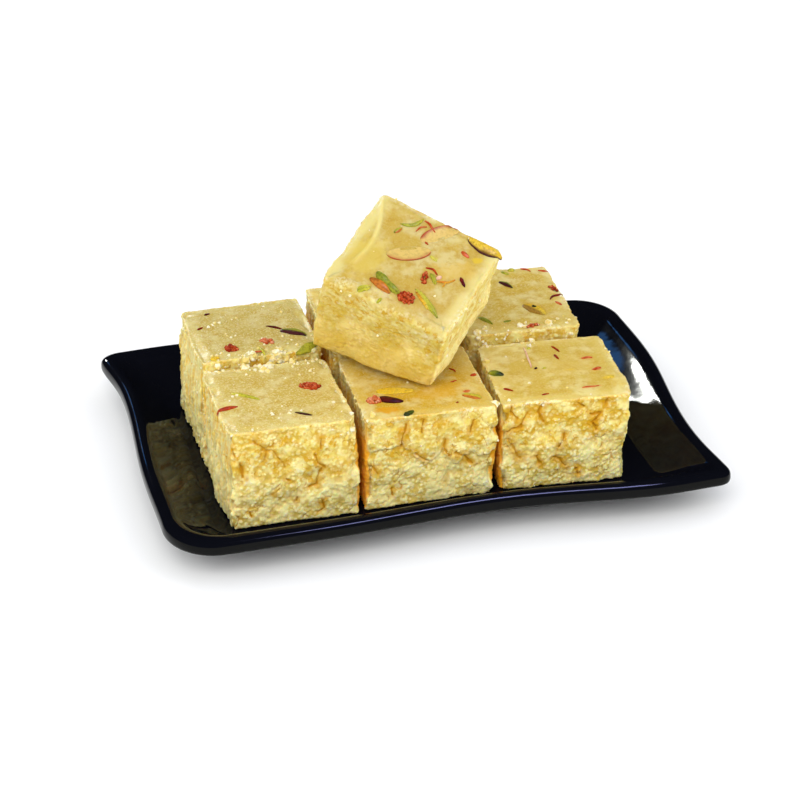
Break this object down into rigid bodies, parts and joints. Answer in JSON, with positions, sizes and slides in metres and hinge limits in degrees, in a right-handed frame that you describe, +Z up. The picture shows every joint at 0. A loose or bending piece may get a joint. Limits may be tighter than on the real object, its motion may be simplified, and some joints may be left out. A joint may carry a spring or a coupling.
{
  "type": "plate of kalakand",
  "caption": "Squares of nut-topped milk sweet in rows on a dark wavy-rimmed plate, with one more square leaning on top of them.",
  "frame": {"origin": "middle of the plate's foot, on the surface that the plate stands on, at the middle of the plate's length and width", "axes": "+Z up; +X along the plate's long side, to the right as seen from the front row; +Y from the front row of squares to the back row"},
  "size_m": [0.1891, 0.134, 0.0911],
  "materials": {
    "plate_black": "deep glossy black melamine",
    "curd": "moist grainy milk curd, pale lemon cream; matte plastic stands in for the food",
    "curd_golden": "moist smooth-topped milk curd, a little more golden; matte plastic stands in for the food"
  },
  "bodies": {
    "root": {"plate": "plate_black", "block_front_left": "curd", "block_front_middle": "curd", "block_front_right": "curd", "block_back_left": "curd", "block_back_middle": "curd", "block_back_right": "curd", "block_top": "curd_golden", "broken_piece": "curd"}
  },
  "joints": []
}
